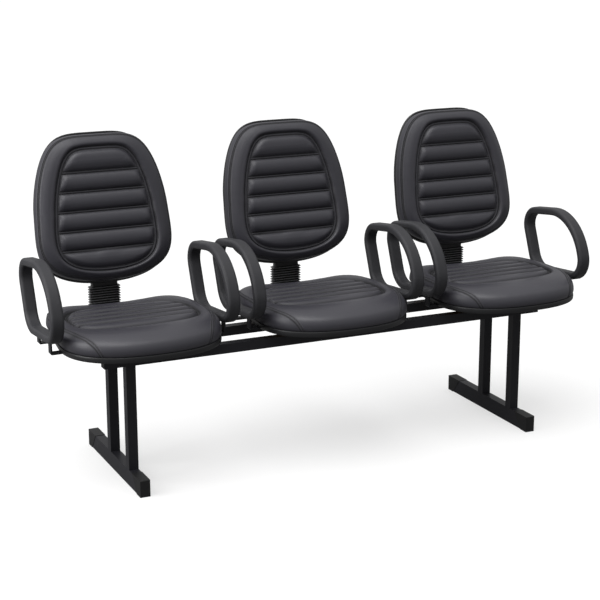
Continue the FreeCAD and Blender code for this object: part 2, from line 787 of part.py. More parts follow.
support_places, blade_places, bar_places = seat_bolt_places()
shared = {
    "seat_supports": seat_supports(),
    "seat_bolts": board_bolts(support_places, board_underside - support_wall),
    "blade_bolts": board_bolts(blade_places, board_underside - blade_thickness),
    "arm_bolts": board_bolts(bar_places, board_underside - bar_thickness),
    "claw_nuts": claw_nuts(),
}
own = {
    "seat_board": [seat_board()],
    "seat_edge_trim": [seat_edge_trim()],
    "seat_cushion": [seat_cushion()],
    "left_arm": [loop_arm(-1)],
    "right_arm": [loop_arm(1)],
    "arm_brackets": arm_brackets(),
    "back_blade": [back_blade()],
    "blade_sleeve": [blade_sleeve()],
    "back_board": [to_back(back_board())],
    "back_edge_trim": [to_back(back_edge_trim())],
    "back_cushion": [to_back(back_cushion())],
    "back_cover": [to_back(back_cover())],
    "back_guide": [to_back(back_guide())],
    "back_screws": [to_back(screw) for screw in back_screws()],
    "height_knob": [to_back(height_knob())],
}
for index, seat_name in enumerate(seat_names):
    shift = Vec((index - (len(seat_names) - 1) / 2) * seat_pitch, 0, 0)
    for name, solids in own.items():
        nodes[seat_name + "_" + name] = [solid.translated(shift) for solid in solids]
    for name, solids in shared.items():
        nodes.setdefault(name, []).extend(solid.translated(shift) for solid in solids)

# The origin is the middle of the footprint, on the floor
boxes = [solid.optimalBoundingBox(False) for solids in nodes.values() for solid in solids]
middle_y = (min(box.YMin for box in boxes) + max(box.YMax for box in boxes)) / 2
home = Vec(0, -middle_y, 0)
for name, solids in nodes.items():
    group = Part.makeCompound([solid.translated(home) for solid in solids])
    shape = group if len(solids) > 1 else solids[0].translated(home)
    shape.exportStep("parts/" + name + ".step")

knob_point = back_point(0, knob_v, nut_face) + home
slide = back_point(0, 1, 0) - back_origin
out = back_point(0, 0, 1) - back_origin
print("files", len(nodes), "shift in y", round(-middle_y, 3))
print("slide axis", [round(v, 5) for v in slide], "knob axis", [round(-v, 5) for v in out])
print("knob point", [round(v, 3) for v in knob_point], "blade y", round(blade_y + home.y, 3))
for name, solids in sorted(nodes.items()):
    sound = all(solid.isValid() and len(solid.Solids) == 1 for solid in solids)
    print(name, len(solids), "ok" if sound else "CHECK", round(sum(s.Volume for s in solids) / 1000, 1))
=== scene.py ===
import json
import math
import bpy
import numpy as np
from mathutils import Matrix, Vector
from mathutils.bvhtree import BVHTree
from mathutils.kdtree import KDTree


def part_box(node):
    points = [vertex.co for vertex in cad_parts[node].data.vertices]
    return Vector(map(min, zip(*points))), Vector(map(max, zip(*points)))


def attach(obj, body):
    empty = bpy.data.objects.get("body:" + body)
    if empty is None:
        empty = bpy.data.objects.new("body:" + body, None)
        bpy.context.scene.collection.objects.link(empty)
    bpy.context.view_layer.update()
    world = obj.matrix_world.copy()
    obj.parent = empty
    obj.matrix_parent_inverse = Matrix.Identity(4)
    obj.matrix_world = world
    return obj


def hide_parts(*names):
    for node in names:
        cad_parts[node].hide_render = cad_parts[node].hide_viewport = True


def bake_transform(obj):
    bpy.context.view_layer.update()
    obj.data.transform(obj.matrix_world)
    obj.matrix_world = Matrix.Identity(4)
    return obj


# Three-seat beam seating with padded seats, padded height-adjustable backs and loop arms.
# Everything is in metres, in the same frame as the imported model, and is built piece by piece.

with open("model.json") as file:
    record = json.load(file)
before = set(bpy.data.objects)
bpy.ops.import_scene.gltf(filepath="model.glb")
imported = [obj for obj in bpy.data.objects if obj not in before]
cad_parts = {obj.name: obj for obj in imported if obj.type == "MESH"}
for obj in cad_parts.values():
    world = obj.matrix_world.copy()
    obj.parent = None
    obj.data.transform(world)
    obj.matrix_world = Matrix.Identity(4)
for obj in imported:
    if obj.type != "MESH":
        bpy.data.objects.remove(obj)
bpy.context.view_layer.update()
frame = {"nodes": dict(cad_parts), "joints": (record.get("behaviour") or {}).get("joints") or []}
seats = ("left", "centre", "right")


# Beams, uprights and foot tubes: square and flat-sided steel tube, mitred, welded and given one
# black satin powder coat, which is slightly uneven and a little polished where hands and feet rub.
class Value:
    """A value in a material. Arithmetic on it adds Math nodes, and node() adds any other node."""

    def __init__(self, tree, socket=None):
        self.tree = tree
        self.socket = socket

    def node(self, kind, settings=None, inputs=None, output=0):
        made = self.tree.nodes.new(kind)
        for name, setting in (settings or {}).items():
            if name == "stops":
                ramp = made.color_ramp
                while len(ramp.elements) < len(setting):
                    ramp.elements.new(0.5)
                for element, (place, level) in zip(ramp.elements, setting):
                    element.position = place
                    element.color = (level, level, level, 1.0)
            else:
                setattr(made, name, setting)
        for name, value in (inputs or {}).items():
            if isinstance(value, Value):
                self.tree.links.new(value.socket, made.inputs[name])
            else:
                made.inputs[name].default_value = value
        return Value(self.tree, made.outputs[output])

    def math(self, operation, *values):
        return self.node("ShaderNodeMath", {"operation": operation}, dict(enumerate(values)))

    def __add__(self, other):
        return self.math("ADD", self, other)

    def __sub__(self, other):
        return self.math("SUBTRACT", self, other)

    def __rsub__(self, other):
        return self.math("SUBTRACT", other, self)

    def __mul__(self, other):
        return self.math("MULTIPLY", self, other)

    def __truediv__(self, other):
        return self.math("DIVIDE", self, other)

    __radd__ = __add__
    __rmul__ = __mul__

    def noise(self, place, size, detail=2.0, roughness=0.5):
        """Cloudy variation from 0 to 1, of about this size in metres."""
        return self.node("ShaderNodeTexNoise", None,
                         {"Vector": place, "Scale": 1.0 / size, "Detail": detail, "Roughness": roughness})

    def cells(self, place, size, feature="F1"):
        """Distance inside small cells of about this size in metres."""
        return self.node("ShaderNodeTexVoronoi", {"feature": feature},
                         {"Vector": place, "Scale": 1.0 / size})

    def ramp(self, stops):
        return self.node("ShaderNodeValToRGB", {"stops": stops}, {"Fac": self})

    def blend(self, first, second):
        """The first colour where this value is 0, the second where it is 1."""
        return self.node("ShaderNodeMix", {"data_type": "RGBA"}, {0: self, 6: first, 7: second}, 2)

    def bump(self, height, strength, distance, normal=None):
        inputs = {"Height": height, "Strength": strength, "Distance": distance}
        if normal is not None:
            inputs["Normal"] = normal
        return self.node("ShaderNodeBump", None, inputs)


def new_material(name, **constants):
    """Material with one Principled shader whose plain values are set on its own sockets."""
    material = bpy.data.materials.new(name)
    material.use_nodes = True
    tree = material.node_tree
    shader = tree.nodes["Principled BSDF"]
    for socket, value in constants.items():
        shader.inputs[socket.replace("_", " ")].default_value = value
    start = Value(tree)
    place = start.node("ShaderNodeTexCoord", None, None, "Object")
    return material, start, place


def wire(material, colour, roughness, normal):
    """Join the varying colour, roughness and surface normal to the material's shader."""
    tree = material.node_tree
    shader = tree.nodes["Principled BSDF"]
    for socket, value in (("Base Color", colour), ("Roughness", roughness), ("Normal", normal)):
        tree.links.new(value.socket, shader.inputs[socket])


def grey(level, blue=0.0):
    return (level, level, level + blue, 1.0)


def powder_coat():
    material, start, place = new_material("powder coat", Specular_IOR_Level=0.22)
    specks = start.noise(place, 0.0011, 3.0)
    cloud = start.noise(place, 0.09, 3.0)
    rub = start.noise(place, 0.035, 5.0, 0.65).ramp([(0.60, 0.0), (0.78, 1.0)])
    colour = (cloud * 0.6 + rub * 0.25).blend(grey(0.0125, 0.003), grey(0.022, 0.0045))
    roughness = 0.40 + cloud * 0.12 - rub * 0.08
    normal = start.bump(specks, 0.22, 0.00025)
    wire(material, colour, roughness, normal)
    return material


def dress(node, material, width=0.0, segments=2):
    """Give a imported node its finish, smooth shading and, where it has them, softened edges."""
    piece = frame["nodes"][node]
    piece.data.materials.clear()
    piece.data.materials.append(material)
    if width:
        soften = piece.modifiers.new("softened edges", "BEVEL")
        soften.width = width
        soften.segments = segments
        soften.limit_method = "ANGLE"
        soften.angle_limit = math.radians(50)
        soften.harden_normals = True
    smooth(piece, 32)


def smooth(piece, angle=180):
    """Smooth shading, with edges sharper than the angle left crisp."""
    data = piece.data
    data.polygons.foreach_set("use_smooth", [True] * len(data.polygons))
    if angle < 180:
        data.set_sharp_from_angle(angle=math.radians(angle))


frame_coat = powder_coat()
for node in ("front_beam", "rear_beam"):
    dress(node, frame_coat, 0.0022, 3)
for side in ("left", "right"):
    dress(side + "_foot_tube", frame_coat)
    for place in ("front", "rear"):
        dress(side + "_" + place + "_upright", frame_coat, 0.0022, 3)


# Foot caps and beam end plugs: injection-moulded black polypropylene, spark-eroded to a fine
# matt grain. The caps slide over the foot tubes and stand on the floor; the plugs are pressed in.
def moulded_plastic():
    material, start, place = new_material("moulded plastic", Specular_IOR_Level=0.28)
    grain = start.cells(place, 0.0009)
    cloud = start.noise(place, 0.05, 3.0)
    scuff = start.noise(place, 0.012, 6.0, 0.7).ramp([(0.62, 0.0), (0.8, 1.0)])
    colour = (cloud * 0.5 + scuff * 0.4).blend(grey(0.007, 0.0006), grey(0.017, 0.001))
    roughness = 0.50 + cloud * 0.1 + scuff * 0.06
    normal = start.bump(grain, 0.25, 0.0002)
    wire(material, colour, roughness, normal)
    return material


black_plastic = moulded_plastic()
dress("foot_caps", black_plastic, 0.0012, 2)
dress("beam_end_plugs", black_plastic, 0.0006, 2)


# Seat supports and arm brackets: folded channel and bent flat bar, welded or bolted, in the
# same coat as the beams. They show between the seats and under the arms.
dress("seat_supports", frame_coat, 0.001, 2)
for seat in seats:
    dress(seat + "_arm_brackets", frame_coat, 0.0008, 2)


# Bolts and claw nuts: bright zinc-plated steel, faintly mottled by the plating bath.
def zinc_plate():
    material, start, place = new_material("zinc plate", Metallic=1.0)
    mottle = start.noise(place, 0.004, 4.0)
    colour = mottle.blend(grey(0.50, 0.02), grey(0.72, 0.01))
    roughness = 0.28 + mottle * 0.2
    normal = start.bump(start.noise(place, 0.0008), 0.15, 0.0001)
    wire(material, colour, roughness, normal)
    return material


plating = zinc_plate()
for node in ("seat_bolts", "blade_bolts", "arm_bolts", "claw_nuts"):
    dress(node, plating)
for seat in seats:
    dress(seat + "_back_screws", plating)


# Boards: pressed plywood, with the face veneer's long grain across the seat. They show from
# below and at the bolt holes only.
def plywood():
    material, start, place = new_material("plywood")
    stretched = start.node("ShaderNodeMapping", None, {"Vector": place, "Scale": (1.0, 14.0, 14.0)})
    rings = start.noise(stretched, 0.09, 5.0, 0.6)
    fibre = start.noise(stretched, 0.012, 4.0)
    colour = (rings * 0.8 + fibre * 0.3).blend((0.50, 0.31, 0.15, 1.0), (0.25, 0.13, 0.055, 1.0))
    roughness = 0.6 + fibre * 0.2
    normal = start.bump(fibre, 0.3, 0.0003)
    wire(material, colour, roughness, normal)
    return material


veneer = plywood()
for seat in seats:
    dress(seat + "_seat_board", veneer)
    dress(seat + "_back_board", veneer)


# Edge trims: black extruded PVC edging bent round each board, its outer face slightly crowned,
# satin from the die, so that a soft highlight runs along its upper edge.
def extruded_edging():
    material, start, place = new_material("extruded edging", Specular_IOR_Level=0.35)
    streak = start.node("ShaderNodeMapping", None, {"Vector": place, "Scale": (1.0, 1.0, 30.0)})
    lines = start.noise(streak, 0.02, 3.0)
    cloud = start.noise(place, 0.06, 2.0)
    colour = cloud.blend(grey(0.008, 0.001), grey(0.015, 0.0015))
    roughness = 0.30 + cloud * 0.1 + lines * 0.06
    normal = start.bump(lines, 0.12, 0.0002)
    wire(material, colour, roughness, normal)
    return material


def egg(angle, half_width, half_length, middle, narrowing, powers, inset=0.0):
    """Points of a rounded egg outline in these directions from its middle."""
    wide = half_width - inset
    long = half_length - inset
    rise = np.sin(angle)
    side = np.cos(angle)
    along = np.where(rise >= 0, powers[0], powers[2])
    across = np.where(rise >= 0, powers[1], powers[3])
    low = np.full(np.shape(angle), 0.5)
    high = np.full(np.shape(angle), 1.5)
    for _ in range(40):
        reach = (low + high) / 2
        outside = np.abs(reach * rise) ** along + np.abs(reach * side) ** across > 1
        high = np.where(outside, reach, high)
        low = np.where(outside, low, reach)
    up = reach * rise
    return np.stack([wide * (1 - narrowing * up) * reach * side, middle + long * up], -1)


def piece_from(name, points, faces, material, place=None):
    """Object from points and faces, moved to its place, with its finish."""
    data = bpy.data.meshes.new(name)
    data.from_pydata([tuple(p) for p in points], [], [tuple(int(v) for v in f) for f in faces])
    data.validate()
    data.materials.append(material)
    if place is not None:
        data.transform(place)
    data.update()
    made = bpy.data.objects.new(name, data)
    bpy.context.scene.collection.objects.link(made)
    smooth(made)
    return made


def rim(name, outline, low, high, lips, place):
    """Edging whose crowned outer face stands between two heights, and whose lips reach inwards.

    lips holds how far the lip at the low side and the one at the high side reach over the board.
    """
    round_count = 360
    lip_thickness = 0.0006
    crown_depth = 0.0030
    angle = np.linspace(0, 2 * math.pi, round_count + 1)[:-1]
    middle = (low + high) / 2
    profile = [(lips[0], low + lip_thickness), (lips[0], low)]
    for t in np.linspace(-1, 1, 15):
        crown = math.cos(t * math.pi / 2) ** 0.55
        level = middle + (high - low) / 2 * math.sin(t * math.pi / 2)
        profile.append((crown_depth * (1 - crown), level))
    profile.append((lips[1], high))
    profile.append((lips[1], high - lip_thickness))
    points = []
    for inset, z in profile:
        ring = egg(angle, **outline, inset=inset)
        points.append(np.column_stack([ring, np.full(len(ring), z)]))
    faces = []
    for r in range(len(profile)):
        after = (r + 1) % len(profile)
        for k in range(round_count):
            j = (k + 1) % round_count
            faces.append((r * round_count + k, r * round_count + j,
                          after * round_count + j, after * round_count + k))
    return piece_from(name, np.vstack(points), faces, edging, place)


edging = extruded_edging()
seat_egg = dict(half_width=0.239, half_length=0.234, middle=-0.0715, narrowing=0.12,
                powers=(7.0, 4.5, 2.3, 2.4))
trim_egg = dict(half_width=0.209, half_length=0.235, middle=0.0105, narrowing=0.05,
                powers=(1.65, 4.4, 4.7, 2.2))
seat_edge = 0.016
seat_lips = (0.0048, 0.0048)
back_edge = 0.015
back_lips = (0.013, 0.018)
proud = 0.0005
# Depths of the back's board in its own frame: its middle, and its front face
board_middle_depth = -0.050
board_face = -0.043
slide = Vector(next(j["axis"] for j in frame["joints"] if j["name"] == "centre_back_height"))
lean = math.atan2(slide.y, slide.z)
upright_turn = Matrix.Rotation(math.pi / 2 - lean, 4, "X")


def seat_place(seat):
    """From the seat's own frame, its board's top face at 0, to the bench's."""
    low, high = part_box(seat + "_seat_board")
    return Matrix.Translation(((low.x + high.x) / 2, (low.y + high.y) / 2 - seat_egg["middle"], high.z))


def back_place(seat):
    """From the back's own frame, z out of its front, to the bench's."""
    low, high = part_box(seat + "_back_board")
    inside = upright_turn @ Vector((0, trim_egg["middle"], board_middle_depth))
    return Matrix.Translation((low + high) / 2 - inside) @ upright_turn


for seat in seats:
    edge = rim(seat + "_seat_rim", seat_egg, -seat_edge, proud, seat_lips, seat_place(seat))
    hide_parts(seat + "_seat_edge_trim")
    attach(edge, "root")
    edge = rim(seat + "_back_rim", trim_egg, board_face - back_edge, board_face + proud, back_lips,
               back_place(seat))
    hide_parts(seat + "_back_edge_trim")
    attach(edge, seat + "_back")


# Seat pads: moulded foam glued to the board under a sewn leatherette cover. A channelled panel
# of five rows is framed by a double-stitched welt; the front rolls over in one piece, and the
# side panels meet it in a curved double-stitched seam at each front corner.
def curve_through(rows, count):
    """Smooth curve through rows of numbers, as this many rows, evenly spread between them."""
    rows = np.array(rows, float)
    padded = np.vstack([2 * rows[0] - rows[1], rows, 2 * rows[-1] - rows[-2]])
    out = []
    for t in np.linspace(0, len(rows) - 1, count):
        k = min(int(t), len(rows) - 2)
        s = t - k
        a, b, c, d = padded[k:k + 4]
        out.append(0.5 * (2 * b + (c - a) * s + (2 * a - 5 * b + 4 * c - d) * s * s
                          + (3 * b - a - 3 * c + d) * s ** 3))
    return np.array(out)


def wall_rows(rows, seam_run=None):
    """Rows of a side wall, and how far each is from the seam that runs round it.

    Each row begins with its height and how far it is drawn in. The seam is a groove at this run
    up the wall, with a second row of stitches above it.
    """
    stitch_off = 0.0045
    dense = curve_through(rows, 400)
    run = np.concatenate([[0], np.cumsum(np.linalg.norm(np.diff(dense[:, :2], axis=0), axis=1))])
    wanted = list(np.linspace(0, run[-1], 20))
    if seam_run is not None:
        wanted = [w for w in wanted if not -0.004 < w - seam_run < 0.010 or w == run[-1]]
        wanted += list(seam_run + np.arange(-0.004, 0.0091, 0.0007))
    wanted = np.array(sorted(w for w in wanted if w <= run[-1]))
    out = np.column_stack([np.interp(wanted, run, dense[:, k]) for k in range(dense.shape[1])])
    if seam_run is None:
        return out, np.full(len(out), 1.0)
    off = wanted - seam_run
    depth = 0.0016 * np.exp(-(off / 0.0012) ** 2)
    depth = depth + 0.0007 * np.exp(-((off - stitch_off) / 0.0009) ** 2)
    slope = np.gradient(out[:, :2], wanted, axis=0)
    slope /= np.linalg.norm(slope, axis=1, keepdims=True)
    out[:, 0] -= depth * slope[:, 1]
    out[:, 1] += depth * slope[:, 0]
    return out, np.minimum(np.abs(off), np.abs(off - stitch_off))


def rounded(t, power=2.0):
    """Rises steeply from 0 at 0 and levels out at 1."""
    return 1 - (1 - np.clip(t, 0, 1)) ** power


def fine_rows(seams, first, last, band):
    """Places of the mesh rows across the panel: close at each seam, wider on each padded row."""
    half = np.min(np.diff(seams)) / 2
    offsets = list(np.array([0, 0.5, 0.85, 1.0, 1.2, 1.5, 2.0]) * band)
    offsets += [2 * band + (half - 2 * band) * share for share in (0.1, 0.22, 0.38, 0.58, 0.8)]
    places = set()
    edges = [first] + list(seams) + [last]
    for k, seam in enumerate(edges):
        for offset in offsets:
            if k > 0:
                places.add(round(seam - offset, 6))
            if k < len(edges) - 1:
                places.add(round(seam + offset, 6))
    return np.array(sorted(y for y in places if first <= y <= last))


def sewn_cover(panel, seams, levels, seam_off, outline, crown, valley, rise, band, row_band, fullness,
               folds):
    """Mesh of a pad in its own frame: x across, y along, z out of its face.

    panel holds the channelled panel's outline and seams the places of its row seams. levels are
    the side wall's rows, seam_off their distances from the wall's seam, and outline(row, angle)
    gives the points of one such row. The panel lies valley deep below the crown, and its rows
    puff up by rise. band is the half width of the welt, row_band that of a row seam, fullness
    how square the rows are, and folds(x, y) the height of small uneven folds.

    It gives the points, the faces, each point's distance from thread, and which points are held.
    """
    wide = panel["half_width"]
    long = panel["half_length"]
    middle = panel["middle"]
    shoulder = 0.80
    column_count = 73
    spread = math.pi / 2 * 0.93
    top = middle + long * shoulder
    bottom = middle - long * shoulder
    rows_y = fine_rows(seams, bottom, top, row_band)
    columns = np.sin(np.linspace(-1, 1, column_count) * spread) / math.sin(spread)

    def width_at(y):
        up = (y - middle) / long
        half = 0 if up >= 0 else 2
        along = panel["powers"][half]
        across = panel["powers"][half + 1]
        return wide * (1 - panel["narrowing"] * up) * (1 - abs(up) ** along) ** (1 / across)

    dense = egg(np.linspace(0, 2 * math.pi, 1441), **panel)

    def bulge(sign):
        """How far the outline stands beyond the shoulder line, at each column."""
        corner = top if sign > 0 else bottom
        part = dense[(dense[:, 1] - corner) * sign >= -1e-9]
        part = part[np.argsort(part[:, 0])]
        return np.interp(columns * width_at(corner), part[:, 0], part[:, 1]) - corner

    caps = {1: bulge(1), -1: bulge(-1)}
    grid = np.zeros((len(rows_y), len(columns), 3))
    for i, y in enumerate(rows_y):
        grid[i, :, 0] = width_at(y) * columns
        grid[i, :, 1] = y
        if y > seams[-1]:
            grid[i, :, 1] += caps[1] * (y - seams[-1]) / (top - seams[-1])
        if y < seams[0]:
            grid[i, :, 1] += caps[-1] * (seams[0] - y) / (seams[0] - bottom)

    # Distance from the nearest row seam, and from the welt round the panel
    flat = grid.reshape(-1, 3)
    to_seam = np.min(np.abs(flat[:, 1:2] - np.array(seams)[None]), axis=1)
    to_welt = np.min(np.linalg.norm(flat[:, None, :2] - dense[None, ::3], axis=2), axis=1)
    row_run = np.min(np.diff(seams)) / 2 - row_band
    pillow = rounded((to_seam - row_band) / row_run, fullness)
    pillow = pillow * rounded((to_welt - band * 0.4) / (row_run * 0.7))
    strip = np.clip(1 - (to_seam / row_band) ** 2, 0, 1) * rounded(to_welt / 0.012)
    groove = np.exp(-((to_seam - row_band) / 0.0009) ** 2) * rounded(to_welt / 0.012)
    ripple = folds(flat[:, 0], flat[:, 1]) * np.exp(-np.maximum(to_seam - row_band, 0) / 0.012)
    ripple = ripple * rounded(to_welt / 0.02)
    flat[:, 2] = crown - valley + rise * pillow + 0.0008 * strip - 0.0010 * groove + ripple

    # Walk round the panel's edge, and carry each point outwards to the side wall
    n, m = grid.shape[:2]
    index = np.arange(n * m).reshape(n, m)
    loop = np.concatenate([index[0, :], index[1:, -1], index[-1, -2::-1], index[-2:0:-1, 0]])
    edge = flat[loop]
    angle = np.arctan2((edge[:, 1] - middle) / long, edge[:, 0] / wide)
    shoulder_row = outline(levels[-1], angle)
    away = shoulder_row - edge[:, :2]
    room = np.linalg.norm(away, axis=1, keepdims=True)
    heading = away / room
    count = len(loop)
    points = [flat]
    # The threads hold the cover this far to each side while the foam blows it out
    thread_reach = 0.0045
    seam_distance = [np.minimum(np.abs(to_seam - row_band), np.abs(to_welt))]
    held = [np.minimum(to_seam, to_welt) < thread_reach]
    rings = [loop]
    steps = np.array([0.35, 0.7, 1.0, 1.15, 1.3, 1.6, 2.0, 2.6, 3.4, 4.4, 5.4]) * band
    spans = 9
    wall_top = levels[-1][0]
    # The wall is glued down below this height, and the foam blows out only above it
    glued_height = 0.040

    def add_ring(xy, z, distance, fast=False):
        start = sum(len(p) for p in points)
        points.append(np.column_stack([xy, z]))
        seam_distance.append(distance)
        held.append(np.full(len(xy), fast))
        rings.append(np.arange(start, start + len(xy)))

    def border(xy, share):
        """Height of the roll between the welt and the side wall."""
        p = np.linalg.norm(xy - edge[:, :2], axis=1)
        roll = wall_top + (crown - wall_top) * np.sin(np.clip(share, 0, 1) * math.pi / 2)
        sink = valley * (1 - rounded((p - 2 * band) / (band * 2.6), 2.0))
        bead = 0.0017 * np.clip(1 - ((p - band) / band) ** 2, 0, 1)
        notch = 0.0012 * np.exp(-((p - 2 * band) / 0.0012) ** 2)
        crease = folds(xy[:, 0] * 1.3, xy[:, 1] * 0.9) * 0.5
        return roll - sink + bead - notch + crease, p

    for step in steps:
        reach = np.minimum(step, room[:, 0] * 0.86)
        xy = edge[:, :2] + heading * reach[:, None]
        z, p = border(xy, 1 - reach / room[:, 0])
        add_ring(xy, z, np.minimum(p, np.abs(p - 2 * band)), step < 2.4 * band)
    inner = points[-1][:, :2]
    for k in range(1, spans):
        share = k / spans
        xy = inner + (shoulder_row - inner) * share
        left = 1 - np.linalg.norm(xy - edge[:, :2], axis=1) / room[:, 0]
        z, p = border(xy, left)
        add_ring(xy, z, np.abs(p - 2 * band))
    for level, off in zip(levels[::-1], seam_off[::-1]):
        add_ring(outline(level, angle), np.full(count, level[0]), np.full(count, off),
                 level[0] < glued_height)
    under = outline(levels[0], angle)
    centre = np.array([0.0, outline(levels[0], np.array([math.pi / 2, -math.pi / 2]))[:, 1].mean()])
    add_ring(centre + (under - centre) * 0.9, np.full(len(under), levels[0][0]), np.full(len(under), 1.0),
             True)

    faces = []
    for i in range(n - 1):
        for j in range(m - 1):
            faces.append((index[i, j], index[i, j + 1], index[i + 1, j + 1], index[i + 1, j]))
    for inside, outside in zip(rings[:-1], rings[1:]):
        for k in range(count):
            after = (k + 1) % count
            faces.append((inside[after], inside[k], outside[k], outside[after]))
    faces.append(tuple(rings[-1][::-1]))
    return np.vstack(points), faces, np.concatenate(seam_distance), np.concatenate(held)


def swell(points, faces, held, cap):
    """Points of the cover after a cloth simulation blows it out between its seams.

    A remeshed copy is simulated, and the sewn cover takes its movement, so the seams stay sharp.
    """
    pressure = 60.0
    voxel = 0.006
    steps = 20
    blank = piece_from("blank", points, faces, upholstery)
    remesh = blank.modifiers.new("even mesh", "REMESH")
    remesh.mode = "VOXEL"
    remesh.voxel_size = voxel
    even = bpy.data.meshes.new_from_object(blank.evaluated_get(bpy.context.evaluated_depsgraph_get()))
    bpy.data.objects.remove(blank)
    cloth = bpy.data.objects.new("cloth", even)
    bpy.context.scene.collection.objects.link(cloth)
    before = np.array([v.co for v in even.vertices])
    tree = KDTree(len(points))
    for k, p in enumerate(points):
        tree.insert(p, k)
    tree.balance()
    pins = cloth.vertex_groups.new(name="sewn")
    pins.add([k for k, p in enumerate(before) if held[tree.find(p)[1]]], 1.0, "REPLACE")
    fabric = cloth.modifiers.new("fabric", "CLOTH")
    settings = fabric.settings
    settings.vertex_group_mass = "sewn"
    settings.use_pressure = True
    settings.uniform_pressure_force = pressure
    settings.effector_weights.gravity = 0
    fabric.point_cache.frame_start = 1
    fabric.point_cache.frame_end = steps
    for frame_number in range(1, steps + 1):
        bpy.context.scene.frame_set(frame_number)
    result = cloth.evaluated_get(bpy.context.evaluated_depsgraph_get())
    after = np.array([v.co for v in result.data.vertices])
    bpy.context.scene.frame_set(1)
    bpy.data.objects.remove(cloth)
    move = after - before
    far = np.linalg.norm(move, axis=1, keepdims=True)
    move = move * np.minimum(1, cap / np.maximum(far, 1e-9))
    tree = KDTree(len(before))
    for k, p in enumerate(before):
        tree.insert(p, k)
    tree.balance()
    moved = points.copy()
    for k, p in enumerate(points):
        clear_of_painted_shade = tree.find_n(p, 8)
        weight = np.array([1 / (d + 0.002) ** 2 for _, _, d in clear_of_painted_shade])
        moved[k] += (move[[i for _, i, _ in clear_of_painted_shade]] * weight[:, None]).sum(0) / weight.sum()
    return moved


def mark(made, values, name="seam"):
    """Store one number for each vertex, which the material reads."""
    attribute = made.data.attributes.new(name, "FLOAT", "POINT")
    attribute.data.foreach_set("value", np.asarray(values, np.float32))


def leatherette():
    """Charcoal coated fabric: fine pebbled grain, soft sheen, thread in its seams, and painted shade
    beside each seam.
    """
    material, start, place = new_material("leatherette", Specular_IOR_Level=0.5)
    pebble = start.cells(place, 0.0016, "SMOOTH_F1")
    pores = start.noise(place, 0.0007, 2.0)
    cloud = start.noise(place, 0.16, 3.0)
    crease = start.noise(place, 0.022, 4.0, 0.55)
    seam = start.node("ShaderNodeAttribute", {"attribute_name": "seam"}, None, "Fac")
    thread_width = 0.0011
    painted_shade_width = 0.005
    sewn = start.math("MINIMUM", seam / thread_width, 1.0)
    clear_of_painted_shade = start.math("MINIMUM", seam / painted_shade_width, 1.0)
    dark = (0.0255, 0.0246, 0.0320, 1.0)
    light = (0.0360, 0.0350, 0.0440, 1.0)
    colour = (cloud * 0.7 + crease * 0.3).blend(dark, light)
    colour = ((1 - sewn) * 0.9).blend(colour, grey(0.002))
    # Painted shade: within a few millimetres of each seam the colour is darkened towards near black,
    # standing in for the shade in the seam's groove.
    colour = ((1 - clear_of_painted_shade) * 0.65).blend(colour, grey(0.004))
    roughness = 0.36 + cloud * 0.08 + pores * 0.08 + (1 - clear_of_painted_shade) * 0.35
    grain = start.bump(pebble * 0.7 + pores * 0.3, 0.35, 0.0003)
    soft = start.bump(crease, 0.25, 0.0012, grain)
    normal = start.bump(sewn, 0.8, 0.0008, soft)
    wire(material, colour, roughness, normal)
    return material


upholstery = leatherette()
seat_panel = dict(half_width=0.186, half_length=0.118, middle=-0.044, narrowing=0.10,
                  powers=(4.0, 4.0, 3.4, 3.4))
# Each row: height above the board, then how far the side, front and rear are drawn in
seat_wall = [
    (0.0, 0.004, 0.004, 0.004),
    (0.010, 0.0, 0.0, 0.0),
    (0.025, 0.0, 0.002, 0.001),
    (0.039, 0.002, 0.011, 0.004),
    (0.049, 0.006, 0.029, 0.014),
    (0.0555, 0.018, 0.053, 0.033),
]
seat_crown = 0.0585
seat_pitch = 0.041
seat_seams_middle = -0.040
seat_seams = [seat_seams_middle + (k - 1.5) * seat_pitch for k in range(4)]


def seat_row(level, angle):
    rise, side, front, rear = level
    return egg(angle, seat_egg["half_width"] - side, seat_egg["half_length"] - (front + rear) / 2,
               seat_egg["middle"] + (front - rear) / 2, seat_egg["narrowing"], seat_egg["powers"])


def ripples(seed, height):
    """Small uneven folds where the thread draws the cover in: a sum of waves of mixed length."""
    waves = np.random.default_rng(seed).uniform(-1, 1, (7, 3))

    def at(x, y):
        total = 0
        for a, b, c in waves:
            total = total + np.sin(x * (260 + 190 * a) + y * 170 * b + c * 9) * (0.6 + 0.4 * b)
        return total * height / 4
    return at


def seam_strip(path, pad_points, pad_faces):
    """Strip along a path on a pad: a sewn groove, and a row of stitches along one side of it.

    across holds, in millimetres, how far each point of its section is off the path and how high.
    """
    surface = BVHTree.FromPolygons([tuple(p) for p in pad_points], pad_faces)

    def outwards(there, normal):
        """The normal, turned to point away from the middle of the pad."""
        return normal if normal.dot(there - Vector((0, -0.05, 0))) > 0 else -normal

    stitch_off = 7.0
    thread = 0.4
    lift = 0.3
    line = curve_through(path, 90)
    across = [(-10.5, -0.6), (-9.2, 0.45), (-8.0, 0.5), (-7.4, -0.2), (-6.6, -0.2), (-5.9, 0.7),
              (-3.5, 1.4), (-1.3, 0.7), (-0.4, -0.3), (0.4, -0.3), (0.9, 0.5), (2.2, 0.9), (3.6, 0.4),
              (5.0, -0.6)]
    points = []
    off = []
    for k, p in enumerate(line):
        ahead = Vector(line[min(k + 1, len(line) - 1)] - line[max(k - 1, 0)]).normalized()
        normal = outwards(*surface.find_nearest(Vector(p))[:2])
        side = normal.cross(ahead).normalized()
        for wide, high in across:
            there, up = surface.find_nearest(Vector(p) + side * wide / 1000)[:2]
            points.append(there + outwards(there, up) * (high + lift) / 1000)
            off.append(max(0, min(abs(wide), abs(wide + stitch_off)) - thread) * 1.4 / 1000)
    n = len(across)
    faces = [(r * n + k, r * n + k + 1, (r + 1) * n + k + 1, (r + 1) * n + k)
             for r in range(len(line) - 1) for k in range(n - 1)]
    return np.array(points), faces, np.array(off)


